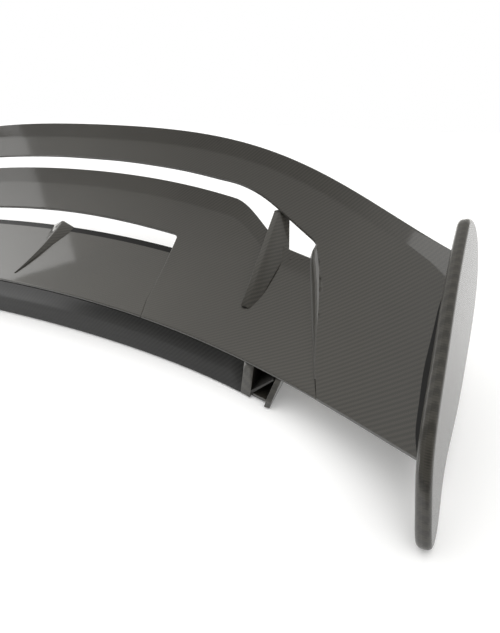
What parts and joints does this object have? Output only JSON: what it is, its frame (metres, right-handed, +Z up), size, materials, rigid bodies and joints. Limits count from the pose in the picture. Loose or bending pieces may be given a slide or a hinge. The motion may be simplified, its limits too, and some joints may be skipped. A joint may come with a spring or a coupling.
{
  "type": "racing rear wing",
  "caption": "Wide carbon-fibre racing rear wing: stacked slotted elements swept forward to canted end plates, on a bolt-down plinth.",
  "frame": {"origin": "centre of the four corner mounting inserts, in the plane of the plinth's underside", "axes": "+X across the car to its right-hand wing tip seen from the front looking rearwards, +Y rearwards, +Z up"},
  "size_m": [1.6996, 0.6154, 0.2987],
  "materials": {
    "carbon": "clear-coated 2x2 twill carbon laminate",
    "carbon_gloss": "clear-coated twill carbon, darker high gloss",
    "laminate": "bare cured laminate, as trimmed",
    "foam": "closed-cell structural foam",
    "steel": "zinc-plated",
    "aluminium": "machined",
    "rubber": "soft black sealing strip"
  },
  "bodies": {
    "root": {"upper_element_top_skin": "carbon", "upper_element_bottom_skin": "carbon", "upper_element_core": "foam", "upper_element_edge_rib": "laminate", "mid_element_top_skin": "carbon", "mid_element_bottom_skin": "carbon", "mid_element_core": "foam", "mid_element_edge_rib": "laminate", "lower_element_top_skin": "carbon", "lower_element_bottom_skin": "carbon", "lower_element_core": "foam", "lower_element_edge_ribs": "laminate", "centre_fin": "carbon", "plinth_front_panel": "carbon_gloss", "plinth_rear_panel": "carbon_gloss", "plinth_floor": "laminate", "plinth_bulkheads": "laminate", "plinth_seal": "rubber", "mounting_inserts": "steel", "hardpoint_blocks": "aluminium", "outer_step_web_right": "carbon", "inner_step_web_right": "carbon", "slot_fin_right": "carbon", "end_plate_inner_shell_right": "carbon", "end_plate_outer_shell_right": "carbon", "end_plate_core_right": "foam", "tip_rib_right": "laminate", "end_plate_inserts_right": "aluminium", "end_plate_studs_right": "steel", "pod_rib_right": "carbon_gloss", "end_cap_right": "carbon_gloss", "pod_gusset_right": "carbon_gloss", "outer_step_fairing_right": "carbon", "tip_sealing_bead_right": "rubber", "outer_step_web_left": "carbon", "inner_step_web_left": "carbon", "slot_fin_left": "carbon", "end_plate_inner_shell_left": "carbon", "end_plate_outer_shell_left": "carbon", "end_plate_core_left": "foam", "tip_rib_left": "laminate", "end_plate_inserts_left": "aluminium", "end_plate_studs_left": "steel", "pod_rib_left": "carbon_gloss", "end_cap_left": "carbon_gloss", "pod_gusset_left": "carbon_gloss", "outer_step_fairing_left": "carbon", "tip_sealing_bead_left": "rubber"}
  },
  "joints": []
}
